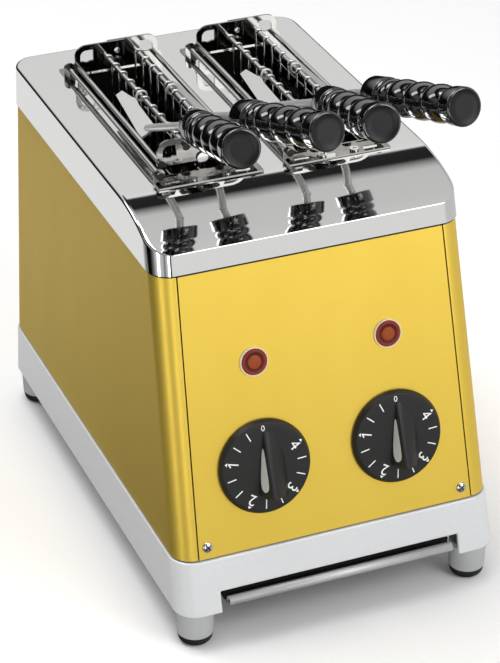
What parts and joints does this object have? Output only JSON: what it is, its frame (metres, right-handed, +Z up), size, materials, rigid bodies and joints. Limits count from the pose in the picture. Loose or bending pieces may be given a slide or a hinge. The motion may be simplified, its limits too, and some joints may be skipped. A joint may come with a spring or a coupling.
{
  "type": "toaster",
  "caption": "Countertop toaster with two bread slots, lift-out bread tongs with black handles, timer knobs on a leaning gold panel and a pull-out crumb tray.",
  "frame": {"origin": "on the table, in the middle of the width and depth", "axes": "+X to the right seen from the control panel, +Y to the back, +Z up"},
  "size_m": [0.2236, 0.3587, 0.3628],
  "materials": {
    "gold_sheet": "satin gold anodised sheet",
    "polished_steel": "mirror-polished stainless steel",
    "bright_steel": "bright steel",
    "sheet_steel": "plain sheet steel",
    "cast_grey": "light grey painted casting",
    "foot_grey": "matt grey",
    "rubber": "matt black",
    "knob_plastic": "satin dark grey",
    "silver_inlay": "satin silver",
    "handle_black": "glossy black",
    "black_plastic": "matt black",
    "white_plastic": "white",
    "lamp_red": "translucent red-orange",
    "ceramic": "white glazed ceramic",
    "heating_rod": "heat-browned steel",
    "timer_case": "plain grey"
  },
  "bodies": {
    "housing": {"base_frame": "cast_grey", "foot_posts": "foot_grey", "foot_pads": "rubber", "tray_rails": "sheet_steel", "side_wrap": "gold_sheet", "front_panel": "gold_sheet", "panel_screws": "bright_steel", "case_screws": "bright_steel", "top_cover": "polished_steel", "slot_brackets": "bright_steel", "bracket_screws": "bright_steel", "guard_rods": "bright_steel", "left_chamber": "sheet_steel", "right_chamber": "sheet_steel", "left_elements": "heating_rod", "right_elements": "heating_rod", "element_bushings": "ceramic", "left_element_guards": "bright_steel", "right_element_guards": "bright_steel", "left_timer": "timer_case", "right_timer": "timer_case", "lamp_holders": "white_plastic", "lamp_bezels": "white_plastic", "lamp_lenses": "lamp_red", "terminal_block": "ceramic", "cord_gland": "black_plastic"},
    "left_knob": {"left_knob": "knob_plastic", "left_knob_inlay": "silver_inlay", "left_timer_shaft": "bright_steel"},
    "right_knob": {"right_knob": "knob_plastic", "right_knob_inlay": "silver_inlay", "right_timer_shaft": "bright_steel"},
    "crumb_tray": {"crumb_tray": "sheet_steel"},
    "tong_a": {"left_tong_pins": "bright_steel", "left_tong_spring": "bright_steel"},
    "tong_b": {"right_tong_pins": "bright_steel", "right_tong_spring": "bright_steel"},
    "tong_a_left_jaw": {"tong_a_left_plates": "bright_steel", "tong_a_left_rods": "bright_steel", "tong_a_left_cage": "bright_steel", "tong_a_left_tang": "bright_steel", "tong_a_left_handle": "handle_black"},
    "tong_a_right_jaw": {"tong_a_right_plates": "bright_steel", "tong_a_right_rods": "bright_steel", "tong_a_right_cage": "bright_steel", "tong_a_right_tang": "bright_steel", "tong_a_right_handle": "handle_black"},
    "tong_b_left_jaw": {"tong_b_left_plates": "bright_steel", "tong_b_left_rods": "bright_steel", "tong_b_left_cage": "bright_steel", "tong_b_left_tang": "bright_steel", "tong_b_left_handle": "handle_black"},
    "tong_b_right_jaw": {"tong_b_right_plates": "bright_steel", "tong_b_right_rods": "bright_steel", "tong_b_right_cage": "bright_steel", "tong_b_right_tang": "bright_steel", "tong_b_right_handle": "handle_black"}
  },
  "joints": [
    {"name": "left_timer_turn", "type": "hinge", "parent": "housing", "child": "left_knob", "pos_m": [-0.0457, -0.15018, 0.11412], "axis": [0, 0.9681, -0.2504], "range_deg": [0, 305]},
    {"name": "right_timer_turn", "type": "hinge", "parent": "housing", "child": "right_knob", "pos_m": [0.0457, -0.15018, 0.11412], "axis": [0, 0.9681, -0.2504], "range_deg": [0, 305]},
    {"name": "tray_pull", "type": "slide", "parent": "housing", "child": "crumb_tray", "axis": [0, -1, 0], "range_m": [0, 0.25]},
    {"name": "tong_a_lift", "type": "slide", "parent": "housing", "child": "tong_a", "axis": [0, 0, 1], "range_m": [0, 0.12]},
    {"name": "tong_a_left_open", "type": "hinge", "parent": "tong_a", "child": "tong_a_left_jaw", "pos_m": [-0.044, -0.04198, 0.2805], "axis": [0, 1, 0], "range_deg": [0, 5], "stiffness_Nm_per_rad": 0.8, "springref_deg": -14.32},
    {"name": "tong_a_right_open", "type": "hinge", "parent": "tong_a", "child": "tong_a_right_jaw", "pos_m": [-0.044, -0.04198, 0.2805], "axis": [0, 1, 0], "range_deg": [-5, 0], "stiffness_Nm_per_rad": 0.8, "springref_deg": 14.32},
    {"name": "tong_b_lift", "type": "slide", "parent": "housing", "child": "tong_b", "axis": [0, 0, 1], "range_m": [0, 0.12]},
    {"name": "tong_b_left_open", "type": "hinge", "parent": "tong_b", "child": "tong_b_left_jaw", "pos_m": [0.044, -0.04198, 0.2805], "axis": [0, 1, 0], "range_deg": [0, 5], "stiffness_Nm_per_rad": 0.8, "springref_deg": -14.32},
    {"name": "tong_b_right_open", "type": "hinge", "parent": "tong_b", "child": "tong_b_right_jaw", "pos_m": [0.044, -0.04198, 0.2805], "axis": [0, 1, 0], "range_deg": [-5, 0], "stiffness_Nm_per_rad": 0.8, "springref_deg": 14.32}
  ],
  "couplings": [
    {"joint": "tong_a_right_open", "follows": "tong_a_left_open", "ratio": -1},
    {"joint": "tong_b_right_open", "follows": "tong_b_left_open", "ratio": -1}
  ]
}
